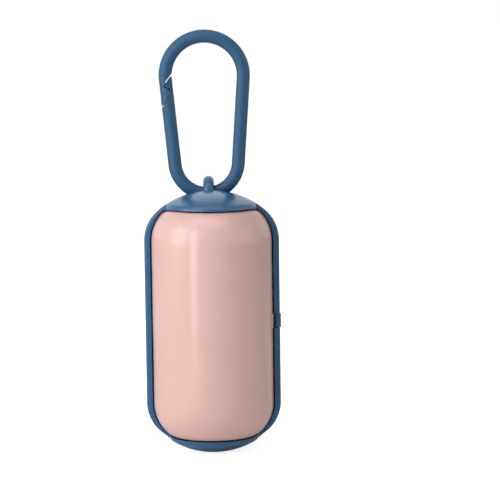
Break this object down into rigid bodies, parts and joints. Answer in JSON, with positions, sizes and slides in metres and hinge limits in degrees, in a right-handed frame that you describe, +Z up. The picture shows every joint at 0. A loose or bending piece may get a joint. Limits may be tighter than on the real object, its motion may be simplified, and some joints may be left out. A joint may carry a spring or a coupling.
{
  "type": "dog poop bag dispenser",
  "caption": "Capsule-shaped dispenser for a roll of dog waste bags, with a hinged front cover, a release button and a snap clip on top.",
  "frame": {"origin": "centre of the flat foot under the case", "axes": "+Z up through the capsule, -Y out of the hinged front cover, +X towards the release button"},
  "size_m": [0.0453, 0.0425, 0.1404],
  "materials": {
    "case_blue": "satin",
    "cover_pink": "satin",
    "clip_blue": "matte",
    "steel": "brushed",
    "board": "matte",
    "film": "satin"
  },
  "bodies": {
    "case": {"rear_case": "case_blue", "hinge_pin": "steel", "button_spring": "steel", "button_keeper": "case_blue", "roll_seat": "case_blue"},
    "cover": {"front_cover": "cover_pink"},
    "button": {"release_button": "case_blue"},
    "roll": {"roll_core": "board", "bag_roll": "film"},
    "clip": {"clip_body": "clip_blue"},
    "gate": {"clip_gate": "clip_blue"}
  },
  "joints": [
    {"name": "cover_hinge", "type": "hinge", "parent": "case", "child": "cover", "pos_m": [-0.01867, -0.0017, 0.04335], "axis": [0, 0, -1], "range_deg": [0, 100]},
    {"name": "button_press", "type": "slide", "parent": "case", "child": "button", "axis": [-1, 0, 0], "range_m": [0, 0.0008], "stiffness_N_per_m": 800, "springref_m": -0.0005, "deforming": ["button_spring"]},
    {"name": "roll_spin", "type": "hinge", "parent": "case", "child": "roll", "pos_m": [0, 0, 0.0423], "axis": [0, 0, 1], "continuous": true},
    {"name": "clip_swing", "type": "hinge", "parent": "case", "child": "clip", "pos_m": [-0.0012, 0.00575, 0.0858], "axis": [1, 0, 0], "range_deg": [-70, 44]},
    {"name": "gate_flex", "type": "hinge", "parent": "clip", "child": "gate", "pos_m": [-0.01188, 0.00575, 0.09539], "axis": [0, 1, 0], "range_deg": [0, 18], "stiffness_Nm_per_rad": 0.25, "springref_deg": -1.15}
  ]
}
